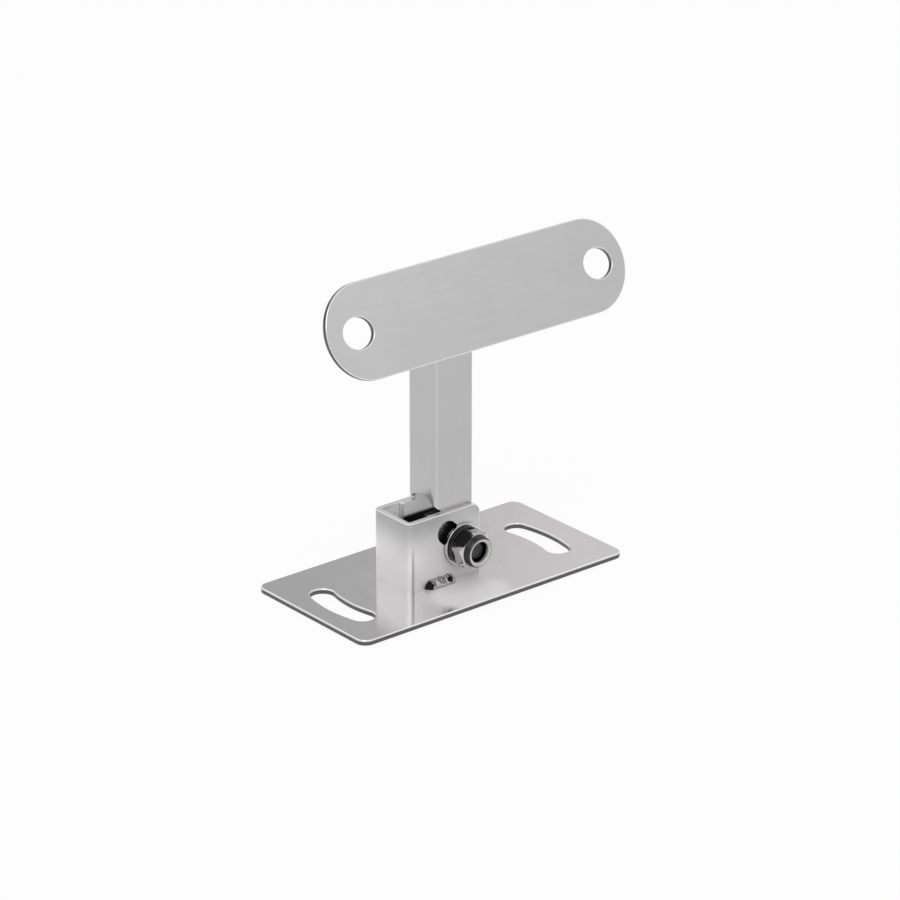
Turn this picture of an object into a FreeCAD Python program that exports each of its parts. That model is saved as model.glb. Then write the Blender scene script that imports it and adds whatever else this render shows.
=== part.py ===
import FreeCAD, Part
import math
import os
import re
import Sketcher

# Speaker wall bracket, millimetres.
# Z points away from the wall, X runs along the wall plate's long side, and the photographed front is -Y.
# The origin is the middle of the wall plate's back face.

# Driving dimensions
DIMENSIONS = {
    # Wall plate
    "wall_length": 120.0,
    "wall_width": 61.0,
    "wall_sheet": 2.0,
    "wall_corner": 4.0,
    # Curved screw slots, about a centre close to the plate's middle
    "slot_centre_x": -1.2,
    "slot_centre_y": -0.8,
    "slot_radius": 46.6,
    "slot_width": 10.0,
    "slot_half_angle": 15.5,
    # Holder, a folded channel that stands on the wall plate
    "holder_left": -23.3,
    "holder_right": 9.3,
    "holder_front": -9.8,
    "holder_depth": 20.0,
    "holder_height": 26.5,
    "holder_sheet": 2.0,
    "holder_bend": 2.5,
    "holder_corner": 3.5,
    # Pivot bolt and the slanted slot that it can be moved along
    "pivot_x": 0.6,
    "pivot_height": 13.0,
    "bolt_diameter": 8.0,
    "bolt_recess": 2.8,
    "bolt_tip_chamfer": 0.8,
    "running_clearance": 0.08,
    "travel_length": 8.6,
    "travel_angle": 136.5,
    # Hexagon sizes of bolt head and nut
    "across_flats": 13.0,
    "head_height": 5.3,
    "nut_turn": 12.0,
    "nut_hex_height": 5.2,
    "nut_collar_height": 2.8,
    "nut_collar_diameter": 11.3,
    "nut_lip": 0.4,
    "nut_lip_opening": 9.4,
    "insert_height": 1.6,
    "insert_diameter": 10.2,
    "thread_gap": 0.02,
    # Washers
    "washer_diameter": 16.0,
    "washer_thickness": 1.6,
    # Split spring washer between the front washer and the nut
    "spring_diameter": 14.2,
    "spring_thickness": 1.6,
    "spring_gap": 1.2,
    # Arm, a folded channel inside the holder
    "arm_left": -9.5,
    "arm_width": 17.0,
    "arm_sheet": 2.0,
    "arm_bend": 2.0,
    "side_gap": 0.25,
    "ear_reach": 3.5,
    "arch_spring": 29.0,
    "arch_rise": 4.4,
    # Speaker plate, leaning back on the arm's mitred end
    "lean_angle": 24.5,
    "lean_height": 86.2,
    "speaker_centre_x": 15.2,
    "speaker_length": 134.5,
    "speaker_width": 34.5,
    "speaker_sheet": 2.0,
    "speaker_overlap": 0.5,
    "speaker_hole": 13.0,
    "speaker_hole_pitch": 109.0,
    "speaker_hole_drop": 0.5,
    "arm_top_margin": 0.8,
    # Weld beads
    "weld_leg": 3.0,
    "weld_pitch": 2.5,
    "weld_start": -13.0,
    "weld_length": 7.4,
    "plate_weld_leg": 2.2,
    "plate_weld_inset": 6.0,
    "tack_leg": 1.8,
    "tack_pitch": 1.0,
}

doc = FreeCAD.newDocument("speaker_wall_bracket")
sheet = doc.addObject("Spreadsheet::Sheet", "sizes")
for row, (alias, number) in enumerate(DIMENSIONS.items(), start=1):
    sheet.set("A%d" % row, alias)
    sheet.set("B%d" % row, str(number))
    sheet.setAlias("B%d" % row, alias)
doc.recompute()

NAME = re.compile(r"\b[a-z]+(?:_[a-z]+)+\b")
ORIGIN_POINT = (-1, 1)
FAR = 400.0
SKIN = 0.01


def dim(alias):
    """The size that the sheet holds under this name."""
    return float(sheet.get(alias))


def spelled(formula):
    """The formula with each size named in full."""
    return NAME.sub(lambda found: "sizes." + found.group(0), formula)


def value(formula):
    return float(sheet.evalExpression(spelled(formula)))


def bind(thing, path, formula):
    """Tie a property or a named constraint to sizes in the sheet."""
    thing.setExpression(path, spelled(formula))


def new_body(node):
    body = doc.addObject("PartDesign::Body", node)
    body.Label = node
    return body


def sketch_on(body, name, role, height="0"):
    """A sketch on one of the body's own origin planes, moved along the plane's normal."""
    sketch = body.newObject("Sketcher::SketchObject", name)
    plane = [item for item in body.Origin.OriginFeatures if item.Role == role][0]
    sketch.AttachmentSupport = [(plane, "")]
    sketch.MapMode = "FlatFace"
    bind(sketch, "AttachmentOffset.Base.z", height)
    return sketch


def fix(sketch, kind, label, formula, *where):
    """A driving constraint with a name of its own, tied to a formula."""
    index = sketch.addConstraint(Sketcher.Constraint(kind, *where, value(formula)))
    sketch.renameConstraint(index, label)
    bind(sketch, "Constraints." + label, formula)


def polygon(sketch, label, corners):
    """Straight lines through corners given as pairs of formulas."""
    first = sketch.GeometryCount
    count = len(corners)
    points = [FreeCAD.Vector(value(x), value(y), 0) for x, y in corners]
    for i in range(count):
        sketch.addGeometry(Part.LineSegment(points[i], points[(i + 1) % count]))
    for i in range(count):
        after = first + (i + 1) % count
        sketch.addConstraint(Sketcher.Constraint("Coincident", first + i, 2, after, 1))
    for i, corner in enumerate(corners):
        fix(sketch, "DistanceX", "%s_x%d" % (label, i), corner[0], *ORIGIN_POINT, first + i, 1)
        fix(sketch, "DistanceY", "%s_y%d" % (label, i), corner[1], *ORIGIN_POINT, first + i, 1)


def rectangle(sketch, label, left, bottom, right, top):
    polygon(sketch, label, [(left, bottom), (right, bottom), (right, top), (left, top)])


def circle(sketch, label, x, y, diameter):
    centre = FreeCAD.Vector(value(x), value(y), 0)
    index = sketch.addGeometry(Part.Circle(centre, FreeCAD.Vector(0, 0, 1), value(diameter) / 2))
    fix(sketch, "DistanceX", label + "_x", x, *ORIGIN_POINT, index, 3)
    fix(sketch, "DistanceY", label + "_y", y, *ORIGIN_POINT, index, 3)
    fix(sketch, "Diameter", label + "_diameter", diameter, index)


def arc(sketch, centre, radius, start_degrees, end_degrees):
    round_line = Part.Circle(FreeCAD.Vector(*centre, 0), FreeCAD.Vector(0, 0, 1), radius)
    ends = math.radians(start_degrees), math.radians(end_degrees)
    return sketch.addGeometry(Part.ArcOfCircle(round_line, *ends))


def straight_slot(sketch, label, centres, width):
    """A slot with full round ends about two centres given as pairs of formulas."""
    (ax, ay), (bx, by) = [(value(x), value(y)) for x, y in centres]
    radius = value(width) / 2
    turn = math.degrees(math.atan2(by - ay, bx - ax))
    side = FreeCAD.Vector(-math.sin(math.radians(turn)), math.cos(math.radians(turn)), 0) * radius
    a = FreeCAD.Vector(ax, ay, 0)
    b = FreeCAD.Vector(bx, by, 0)
    first_end = arc(sketch, (ax, ay), radius, turn + 90, turn + 270)
    lower = sketch.addGeometry(Part.LineSegment(a - side, b - side))
    second_end = arc(sketch, (bx, by), radius, turn - 90, turn + 90)
    upper = sketch.addGeometry(Part.LineSegment(b + side, a + side))
    sketch.addConstraint(Sketcher.Constraint("Tangent", first_end, 2, lower, 1))
    sketch.addConstraint(Sketcher.Constraint("Tangent", lower, 2, second_end, 1))
    sketch.addConstraint(Sketcher.Constraint("Tangent", second_end, 2, upper, 1))
    sketch.addConstraint(Sketcher.Constraint("Tangent", upper, 2, first_end, 1))
    for place, index, centre in (("a", first_end, centres[0]), ("b", second_end, centres[1])):
        fix(sketch, "DistanceX", "%s_%s_x" % (label, place), centre[0], *ORIGIN_POINT, index, 3)
        fix(sketch, "DistanceY", "%s_%s_y" % (label, place), centre[1], *ORIGIN_POINT, index, 3)
    fix(sketch, "Diameter", label + "_width", width, first_end)


def curved_slot(sketch, label, side):
    """A screw slot bent about the slot centre, on the right (side 1) or left (side -1)."""
    middle = (dim("slot_centre_x"), dim("slot_centre_y"))
    pitch = dim("slot_radius")
    half = dim("slot_width") / 2
    spread = dim("slot_half_angle")
    facing = 0 if side > 0 else 180
    inner = arc(sketch, middle, pitch - half, facing - spread, facing + spread)
    outer = arc(sketch, middle, pitch + half, facing - spread, facing + spread)
    ends = []
    for turn in (spread, -spread):
        direction = math.radians(facing + turn)
        end_centre = (middle[0] + pitch * math.cos(direction), middle[1] + pitch * math.sin(direction))
        start = facing + turn if turn > 0 else facing + turn - 180
        ends.append(arc(sketch, end_centre, half, start, start + 180))
    far_end, near_end = ends
    sketch.addConstraint(Sketcher.Constraint("Tangent", outer, 2, far_end, 1))
    sketch.addConstraint(Sketcher.Constraint("Tangent", far_end, 2, inner, 2))
    sketch.addConstraint(Sketcher.Constraint("Tangent", inner, 1, near_end, 1))
    sketch.addConstraint(Sketcher.Constraint("Tangent", near_end, 2, outer, 1))
    sketch.addConstraint(Sketcher.Constraint("Coincident", inner, 3, outer, 3))
    fix(sketch, "DistanceX", label + "_middle_x", "slot_centre_x", *ORIGIN_POINT, inner, 3)
    fix(sketch, "DistanceY", label + "_middle_y", "slot_centre_y", *ORIGIN_POINT, inner, 3)
    fix(sketch, "Radius", label + "_inner", "slot_radius - slot_width / 2", inner)
    for place, index, sign in (("far", far_end, side), ("near", near_end, -side)):
        rise = "slot_centre_y + %d * slot_radius * sin(slot_half_angle * 1deg)" % sign
        fix(sketch, "DistanceY", "%s_%s_y" % (label, place), rise, *ORIGIN_POINT, index, 3)
    fix(sketch, "Radius", label + "_end", "slot_width / 2", far_end)


def pad(body, sketch, name, length):
    feature = body.newObject("PartDesign::Pad", name)
    feature.Profile = sketch
    bind(feature, "Length", length)
    doc.recompute()
    return feature


def cut_through(body, sketch, name):
    """A pocket both ways from its sketch, right through the body."""
    before = body.Tip.Shape.Volume
    feature = body.newObject("PartDesign::Pocket", name)
    feature.Profile = sketch
    feature.Midplane = True
    feature.Length = FAR
    doc.recompute()
    if feature.Shape.isNull() or feature.Shape.Volume > before - SKIN:
        raise RuntimeError(name + " cut nothing")
    return feature


def cut_deep(body, sketch, name, depth):
    """A pocket of this depth, half of it on each side of its sketch."""
    before = body.Tip.Shape.Volume
    feature = body.newObject("PartDesign::Pocket", name)
    feature.Profile = sketch
    feature.Midplane = True
    bind(feature, "Length", depth)
    doc.recompute()
    if feature.Shape.isNull() or feature.Shape.Volume > before - SKIN:
        raise RuntimeError(name + " cut nothing")
    return feature


def near(a, b):
    return abs(a - b) < SKIN


def edge_names(feature, wanted):
    """Names of the straight edges whose two ends both pass the test."""
    names = []
    for number, edge in enumerate(feature.Shape.Edges, start=1):
        ends = [vertex.Point for vertex in edge.Vertexes]
        if len(ends) == 2 and edge.Curve.TypeId == "Part::GeomLine" and wanted(*ends):
            names.append("Edge%d" % number)
    return names


def upright(a, b):
    return near(a.x, b.x) and near(a.y, b.y)


def rounded(body, name, base, names, radius):
    if not names:
        raise RuntimeError(name + " found no edge")
    feature = body.newObject("PartDesign::Fillet", name)
    feature.Base = (base, names)
    bind(feature, "Radius", radius)
    doc.recompute()
    return feature


def folded_channel(node, left, right, front, depth, foot, height, thickness, bend):
    """A sheet folded to a channel: web on the left, flanges front and back, open on the right."""
    body = new_body(node)
    block = sketch_on(body, node + "_block", "XY_Plane", foot)
    rectangle(block, "block", left, front, right, "%s + %s" % (front, depth))
    solid = pad(body, block, node + "_pad", height)
    hollow = sketch_on(body, node + "_hollow", "XY_Plane")
    inner_back = "%s + %s - %s" % (front, depth, thickness)
    over = "%s + %s" % (right, thickness)
    inner_left = "%s + %s" % (left, thickness)
    inner_front = "%s + %s" % (front, thickness)
    rectangle(hollow, "hollow", inner_left, inner_front, over, inner_back)
    open_channel = cut_through(body, hollow, node + "_inside")
    least_x = solid.Shape.BoundBox.XMin
    outside = edge_names(open_channel, lambda a, b: upright(a, b) and near(a.x, least_x))
    outer = rounded(body, node + "_outer_bend", open_channel, outside, bend)
    sheet_size = dim(thickness)
    inside = edge_names(outer, lambda a, b: upright(a, b) and near(a.x, least_x + sheet_size))
    return body, rounded(body, node + "_inner_bend", outer, inside, "%s - %s * 0.8" % (bend, thickness))


def wall_plate():
    body = new_body("wall_plate")
    outline = sketch_on(body, "wall_outline", "XY_Plane")
    half_length = "wall_length / 2"
    half_width = "wall_width / 2"
    rectangle(outline, "plate", "-" + half_length, "-" + half_width, half_length, half_width)
    flat = pad(body, outline, "wall_sheet_pad", "wall_sheet")
    corners = edge_names(flat, upright)
    rounded(body, "wall_corners", flat, corners, "wall_corner")
    slots = sketch_on(body, "wall_slots", "XY_Plane")
    curved_slot(slots, "right", 1)
    curved_slot(slots, "left", -1)
    cut_through(body, slots, "wall_slot_cut")
    return body


HOLDER_TOP = "wall_sheet + holder_height"
PIVOT_Z = "wall_sheet + pivot_height"
TRAVEL_X = "pivot_x + travel_length * cos(travel_angle * 1deg)"
TRAVEL_Z = "wall_sheet + pivot_height + travel_length * sin(travel_angle * 1deg)"


def holder_channel():
    body, folded = folded_channel(
        "holder_channel", "holder_left", "holder_right", "holder_front", "holder_depth",
        "wall_sheet", "holder_height", "holder_sheet", "holder_bend")
    top = dim("wall_sheet") + dim("holder_height")
    right = dim("holder_right")
    corner_test = lambda a, b: near(a.z, top) and near(b.z, top) and near(a.x, right) and near(b.x, right)
    rounded(body, "holder_corners", folded, edge_names(folded, corner_test), "holder_corner")
    slot = sketch_on(body, "pivot_slot", "XZ_Plane")
    width = "bolt_diameter + 2 * running_clearance"
    straight_slot(slot, "slot", (("pivot_x", PIVOT_Z), (TRAVEL_X, TRAVEL_Z)), width)
    cut_through(body, slot, "pivot_slot_cut")
    return body


ARM_FRONT = "holder_front + holder_sheet + side_gap"
ARM_DEPTH = "holder_depth - 2 * holder_sheet - 2 * side_gap"
ARM_FOOT = "wall_sheet"
ARM_RIGHT = "arm_left + arm_width"
SPEAKER_REACH = "(speaker_width - speaker_overlap) * cos(lean_angle * 1deg)"
ARM_TOP = "lean_height + " + SPEAKER_REACH + " - arm_top_margin"


def arm_channel():
    body, folded = folded_channel(
        "arm_channel", "arm_left", ARM_RIGHT, ARM_FRONT, ARM_DEPTH,
        ARM_FOOT, ARM_TOP + " - wall_sheet", "arm_sheet", "arm_bend")
    # Mitred upper end that the speaker plate leans on
    mitre = sketch_on(body, "mitre", "YZ_Plane")
    reach = "(speaker_width + arm_width)"
    low_y = ARM_FRONT + " - " + reach + " * sin(lean_angle * 1deg)"
    low_z = "lean_height - " + reach + " * cos(lean_angle * 1deg)"
    high_y = ARM_FRONT + " + 2 * " + reach + " * sin(lean_angle * 1deg)"
    high_z = "lean_height + 2 * " + reach + " * cos(lean_angle * 1deg)"
    polygon(mitre, "mitre", [(low_y, low_z), (high_y, high_z), (low_y, high_z)])
    cut_through(body, mitre, "mitre_cut")
    # Lower end: the web stops in an arch and the flanges go on as ears
    notch_plane = "arm_left + (arm_bend - 0.8 * arm_sheet) / 2"
    notch_depth = "arm_bend + 1.2 * arm_sheet"
    arm_back = ARM_FRONT + " + " + ARM_DEPTH
    below = sketch_on(body, "web_end", "YZ_Plane", notch_plane)
    before_front = ARM_FRONT + " - arm_sheet"
    rectangle(below, "web_end", before_front, "-arm_sheet", arm_back + " + arm_sheet", "arch_spring")
    cut_deep(body, below, "web_end_cut", notch_depth)
    arch = sketch_on(body, "arch", "YZ_Plane", notch_plane)
    half_depth = "((" + ARM_DEPTH + ") / 2)"
    crown_radius = "((" + half_depth + " ^ 2 + arch_rise ^ 2) / (2 * arch_rise))"
    crown_centre = "arch_spring + arch_rise - " + crown_radius
    circle(arch, "crown", ARM_FRONT + " + " + half_depth, crown_centre, "2 * " + crown_radius)
    cut_deep(body, arch, "arch_cut", notch_depth)
    # Below the web each flange reaches out to the left, in its own plane
    for side, plane in (("front", ARM_FRONT + " + arm_sheet"), ("back", arm_back)):
        tab = sketch_on(body, side + "_ear_tab", "XZ_Plane", "-(" + plane + ")")
        rectangle(tab, "tab", "arm_left - ear_reach", ARM_FOOT, "arm_left + 2 * arm_bend", "arch_spring")
        pad(body, tab, side + "_ear_tab_pad", "arm_sheet")
    # Ears rounded at the lower end, with the bolt's hole
    ears = sketch_on(body, "ears", "XZ_Plane")
    right = dim("arm_left") + dim("arm_width")
    ear_left = dim("arm_left") - dim("ear_reach")
    ear_radius = (right - ear_left) / 2
    pivot_z = dim("wall_sheet") + dim("pivot_height")
    tip = arc(ears, ((right + ear_left) / 2, pivot_z), ear_radius, 180, 360)
    beyond = dim("arm_width")
    places = [(right, pivot_z), (right + beyond, pivot_z), (right + beyond, -beyond),
              (ear_left - beyond, -beyond), (ear_left - beyond, pivot_z), (ear_left, pivot_z)]
    points = [FreeCAD.Vector(x, z, 0) for x, z in places]
    rim = [ears.addGeometry(Part.LineSegment(points[i], points[i + 1])) for i in range(5)]
    ears.addConstraint(Sketcher.Constraint("Coincident", tip, 2, rim[0], 1))
    for i in range(4):
        ears.addConstraint(Sketcher.Constraint("Coincident", rim[i], 2, rim[i + 1], 1))
    ears.addConstraint(Sketcher.Constraint("Coincident", rim[4], 2, tip, 1))
    far_right = ARM_RIGHT + " + arm_width"
    far_left = "arm_left - ear_reach - arm_width"
    corner_formulas = [
        (far_right, PIVOT_Z), (far_right, "-arm_width"), (far_left, "-arm_width"), (far_left, PIVOT_Z)]
    for i, (x, z) in enumerate(corner_formulas, start=1):
        fix(ears, "DistanceX", "rim_x%d" % i, x, *ORIGIN_POINT, rim[i], 1)
        fix(ears, "DistanceY", "rim_z%d" % i, z, *ORIGIN_POINT, rim[i], 1)
    fix(ears, "DistanceY", "right_z", PIVOT_Z, *ORIGIN_POINT, rim[0], 1)
    fix(ears, "DistanceY", "left_z", PIVOT_Z, *ORIGIN_POINT, rim[4], 2)
    fix(ears, "DistanceX", "tip_x", "arm_left + (arm_width - ear_reach) / 2", *ORIGIN_POINT, tip, 3)
    fix(ears, "DistanceY", "tip_z", PIVOT_Z, *ORIGIN_POINT, tip, 3)
    fix(ears, "Radius", "tip_radius", "(arm_width + ear_reach) / 2", tip)
    cut_through(body, ears, "ear_cut")
    hole = sketch_on(body, "pivot_hole", "XZ_Plane")
    circle(hole, "hole", "pivot_x", PIVOT_Z, "bolt_diameter + 2 * running_clearance")
    cut_through(body, hole, "pivot_hole_cut")
    return body


def speaker_plate():
    """Flat plate with full round ends, drawn in its own plane and then leaned back."""
    body = new_body("speaker_plate")
    outline = sketch_on(body, "speaker_outline", "XY_Plane")
    reach = "(speaker_length - speaker_width) / 2"
    straight_slot(outline, "plate", (("-" + reach, "0"), (reach, "0")), "speaker_width")
    pad(body, outline, "speaker_pad", "speaker_sheet")
    holes = sketch_on(body, "speaker_holes", "XY_Plane")
    circle(holes, "left", "-speaker_hole_pitch / 2", "-speaker_hole_drop", "speaker_hole")
    circle(holes, "right", "speaker_hole_pitch / 2", "-speaker_hole_drop", "speaker_hole")
    cut_through(body, holes, "speaker_hole_cut")
    rise = "(speaker_width / 2 - speaker_overlap)"
    body.Placement.Rotation = FreeCAD.Rotation(FreeCAD.Vector(1, 0, 0), 90)
    bind(body, "Placement.Rotation.Angle", "90deg - lean_angle * 1deg")
    bind(body, "Placement.Base.x", "speaker_centre_x * 1mm")
    bind(body, "Placement.Base.y", "(" + ARM_FRONT + " + " + rise + " * sin(lean_angle * 1deg)) * 1mm")
    bind(body, "Placement.Base.z", "(lean_height + " + rise + " * cos(lean_angle * 1deg)) * 1mm")
    doc.recompute()
    return body


def solid_of(kind, name, **sizes):
    """A primitive with each size tied to a formula."""
    item = doc.addObject("Part::" + kind, name)
    for path, formula in sizes.items():
        bind(item, path, formula)
    return item


def along_y(item, x, y, z, turn=0.0):
    """Stand a primitive's own axis along +Y with its base at this place, turned about +Y by turn degrees."""
    lying = FreeCAD.Rotation(FreeCAD.Vector(1, 0, 0), -90)
    around = FreeCAD.Rotation(FreeCAD.Vector(0, 1, 0), turn)
    item.Placement = FreeCAD.Placement(FreeCAD.Vector(), around * lying)
    bind(item, "Placement.Base.x", "(%s) * 1mm" % x)
    bind(item, "Placement.Base.y", "(%s) * 1mm" % y)
    bind(item, "Placement.Base.z", "(%s) * 1mm" % z)
    return item


def joined(kind, name, parts):
    item = doc.addObject("Part::" + kind, name)
    item.Shapes = parts
    return item


def taken_from(name, base, tool):
    item = doc.addObject("Part::Cut", name)
    item.Base = base
    item.Tool = tool
    return item


HOLDER_BACK = "holder_front + holder_depth"
HEAD_SEAT = HOLDER_BACK + " + washer_thickness"
WASHER_END = "holder_front - washer_thickness"
NUT_SEAT = WASHER_END + " - spring_thickness"
NUT_END = NUT_SEAT + " - nut_hex_height - nut_collar_height"
STACK = "holder_depth + 2 * washer_thickness + spring_thickness + nut_hex_height + nut_collar_height"
BOLT_LENGTH = "(" + STACK + " - bolt_recess)"
HEX_CORNER = "across_flats / (2 * cos(30deg))"


def hexagon(name, seat, height, outward, turn=0.0):
    """A hexagon along Y whose outer corners are turned off at 30 degrees, on the side away from its seat."""
    base = seat if outward > 0 else seat + " - " + height
    prism = solid_of("Prism", name + "_prism", Circumradius=HEX_CORNER, Height=height)
    prism.Polygon = 6
    along_y(prism, "pivot_x", base, PIVOT_Z, turn)
    slope = "(" + height + ") / tan(30deg)"
    wide = "across_flats / 2 * 0.96 + " + slope
    narrow = "across_flats / 2 * 0.96"
    first, second = (wide, narrow) if outward > 0 else (narrow, wide)
    turned = solid_of("Cone", name + "_turned", Radius1=first, Radius2=second, Height=height)
    along_y(turned, "pivot_x", base, PIVOT_Z)
    return joined("MultiCommon", name, [prism, turned])


def pivot_bolt():
    head = hexagon("bolt_head", HEAD_SEAT, "head_height", 1)
    length = "(" + BOLT_LENGTH + " - bolt_tip_chamfer)"
    shank = solid_of("Cylinder", "bolt_shank", Radius="bolt_diameter / 2", Height=length)
    along_y(shank, "pivot_x", HEAD_SEAT + " - " + length, PIVOT_Z)
    tip = solid_of(
        "Cone", "bolt_tip", Radius1="bolt_diameter / 2 - bolt_tip_chamfer", Radius2="bolt_diameter / 2",
        Height="bolt_tip_chamfer")
    along_y(tip, "pivot_x", HEAD_SEAT + " - " + BOLT_LENGTH, PIVOT_Z)
    bolt = joined("MultiFuse", "pivot_bolt", [head, shank, tip])
    bolt.Refine = True
    return bolt


def lock_nut():
    """Hexagon with a thin round collar whose rim is rolled in over the insert ring."""
    hexagon_part = hexagon("nut_hexagon", NUT_SEAT, "nut_hex_height", -1, value("nut_turn"))
    collar = solid_of("Cylinder", "nut_collar", Radius="nut_collar_diameter / 2", Height="nut_collar_height")
    along_y(collar, "pivot_x", NUT_END, PIVOT_Z)
    whole = joined("MultiFuse", "nut_whole", [hexagon_part, collar])
    bore = solid_of(
        "Cylinder", "nut_bore", Radius="bolt_diameter / 2 + thread_gap",
        Height="2 * (nut_hex_height + nut_collar_height)")
    along_y(bore, "pivot_x", NUT_SEAT + " - 1.5 * (nut_hex_height + nut_collar_height)", PIVOT_Z)
    seat = solid_of("Cylinder", "insert_seat", Radius="insert_diameter / 2", Height="insert_height")
    along_y(seat, "pivot_x", NUT_END + " + nut_lip", PIVOT_Z)
    mouth = solid_of("Cylinder", "lip_opening", Radius="nut_lip_opening / 2", Height="2 * nut_lip")
    along_y(mouth, "pivot_x", NUT_END + " - nut_lip", PIVOT_Z)
    room = joined("MultiFuse", "nut_room", [bore, seat, mouth])
    return taken_from("lock_nut", whole, room)


def ring(name, x, y, z, outer, inner, height):
    disc = solid_of("Cylinder", name + "_disc", Radius=outer, Height=height)
    along_y(disc, x, y, z)
    hole = solid_of("Cylinder", name + "_hole", Radius=inner, Height="3 * (" + height + ")")
    along_y(hole, x, y + " - (" + height + ")", z)
    return taken_from(name, disc, hole)


def lock_nut_insert():
    return ring("lock_nut_insert", "pivot_x", NUT_END + " + nut_lip", PIVOT_Z,
                "insert_diameter / 2", "bolt_diameter / 2 + thread_gap", "insert_height")


def washer(name, base):
    return ring(name, "pivot_x", base, PIVOT_Z,
                "washer_diameter / 2", "bolt_diameter / 2 + running_clearance", "washer_thickness")


def spring_washer():
    """A thick narrow ring, cut through on the side towards +X."""
    whole = ring("spring_washer_ring", "pivot_x", NUT_SEAT, PIVOT_Z,
                 "spring_diameter / 2", "bolt_diameter / 2 + running_clearance", "spring_thickness")
    split = solid_of("Box", "spring_washer_split", Length="spring_diameter", Width="3 * spring_thickness",
                     Height="spring_gap")
    bind(split, "Placement.Base.x", "pivot_x * 1mm")
    bind(split, "Placement.Base.y", "(" + NUT_SEAT + " - spring_thickness) * 1mm")
    bind(split, "Placement.Base.z", "(" + PIVOT_Z + " - spring_gap / 2) * 1mm")
    return taken_from("spring_washer", whole, split)


def bead(name, place, turn, leg, count, pitch, side):
    """A weld bead: overlapping balls along X, kept in one quarter between the two faces that it joins."""
    balls = []
    for number in range(count):
        ball = solid_of("Sphere", "%s_ball%d" % (name, number), Radius=leg)
        bind(ball, "Placement.Base.x", "%s * %d * 1mm" % (pitch, number))
        balls.append(ball)
    row = joined("MultiFuse", name + "_row", balls)
    run = "(%s * %d + 2 * %s)" % (pitch, count - 1, leg)
    quarter = solid_of("Box", name + "_quarter", Length=run, Width=leg, Height=leg)
    bind(quarter, "Placement.Base.x", "-%s * 1mm" % leg)
    bind(quarter, "Placement.Base.y", "-%s * 1mm" % leg if side < 0 else "0mm")
    kept = joined("MultiCommon", name, [row, quarter])
    kept.Placement.Rotation = turn
    for axis, formula in zip("xyz", place):
        bind(kept, "Placement.Base." + axis, "(%s) * 1mm" % formula)
    return kept


def bead_count(length, pitch):
    return max(2, int(round(length / pitch)) + 1)


def holder_welds():
    count = bead_count(dim("weld_length"), dim("weld_pitch"))
    level = FreeCAD.Rotation()
    front = bead("holder_weld_front", ("weld_start", "holder_front", "wall_sheet"), level,
                 "weld_leg", count, "weld_pitch", -1)
    back = bead("holder_weld_back", ("weld_start", HOLDER_BACK, "wall_sheet"), level,
                "weld_leg", count, "weld_pitch", 1)
    return [front, back]


def up_the_mitre(distance, x):
    """A place on the arm's mitre plane, this far up from its lower edge."""
    along = " + (" + distance + ") * "
    y = ARM_FRONT + along + "sin(lean_angle * 1deg)"
    z = "lean_height" + along + "cos(lean_angle * 1deg)"
    return x, y, z


def plate_welds():
    """Beads between the speaker plate's back and the arm: along the web and at the open flange end."""
    lean = math.radians(dim("lean_angle"))
    up = FreeCAD.Vector(0, math.sin(lean), math.cos(lean))
    behind = FreeCAD.Vector(0, math.cos(lean), -math.sin(lean))
    to_right = FreeCAD.Vector(1, 0, 0)
    mitre_length = (dim("holder_depth") - 2 * dim("holder_sheet") - 2 * dim("side_gap")) / math.sin(lean)
    run = min(mitre_length, dim("speaker_width")) - 2 * dim("plate_weld_inset")
    left_turn = FreeCAD.Rotation(up, behind, -to_right, "XYZ")
    web = bead("plate_weld_web", up_the_mitre("plate_weld_inset", "arm_left"), left_turn,
               "plate_weld_leg", bead_count(run, dim("weld_pitch")), "weld_pitch", 1)
    right_turn = FreeCAD.Rotation(-up, behind, to_right, "XYZ")
    top_ball = "arm_sheet / (2 * sin(lean_angle * 1deg)) + tack_pitch / 2"
    flange = bead("plate_weld_flange", up_the_mitre(top_ball, ARM_RIGHT), right_turn,
                  "tack_leg", 2, "tack_pitch", 1)
    return [web, flange]


nodes = [wall_plate(), holder_channel(), arm_channel(), speaker_plate(), pivot_bolt(), lock_nut(),
         lock_nut_insert(), spring_washer(), washer("washer_front", WASHER_END),
         washer("washer_back", HOLDER_BACK)]
nodes += holder_welds()
nodes += plate_welds()
doc.recompute()

for item in doc.Objects:
    if "Invalid" in item.State or "Error" in item.State:
        raise RuntimeError(item.Label + " is in error")

os.makedirs("parts", exist_ok=True)
for node in nodes:
    shape = node.Shape
    if shape.isNull() or not shape.isValid() or len(shape.Solids) != 1:
        raise RuntimeError(node.Label + " is not one valid solid")
    shape.exportStep("parts/%s.step" % node.Label)
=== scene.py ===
import math
import bmesh
import bpy
from mathutils import Matrix, Vector, noise
from mathutils.geometry import tessellate_polygon


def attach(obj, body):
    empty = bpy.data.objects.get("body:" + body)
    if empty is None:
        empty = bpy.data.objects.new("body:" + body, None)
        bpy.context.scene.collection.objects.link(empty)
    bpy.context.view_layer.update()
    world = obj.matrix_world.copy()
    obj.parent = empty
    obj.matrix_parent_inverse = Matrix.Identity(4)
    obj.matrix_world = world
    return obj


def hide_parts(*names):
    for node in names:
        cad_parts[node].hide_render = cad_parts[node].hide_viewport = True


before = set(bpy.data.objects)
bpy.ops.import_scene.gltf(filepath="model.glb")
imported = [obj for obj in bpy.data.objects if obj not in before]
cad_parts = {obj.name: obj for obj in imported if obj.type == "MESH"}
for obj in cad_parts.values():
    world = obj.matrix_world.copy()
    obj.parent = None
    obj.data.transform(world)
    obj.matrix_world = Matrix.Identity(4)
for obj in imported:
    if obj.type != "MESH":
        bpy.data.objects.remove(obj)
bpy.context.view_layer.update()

MM = 0.001

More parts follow.
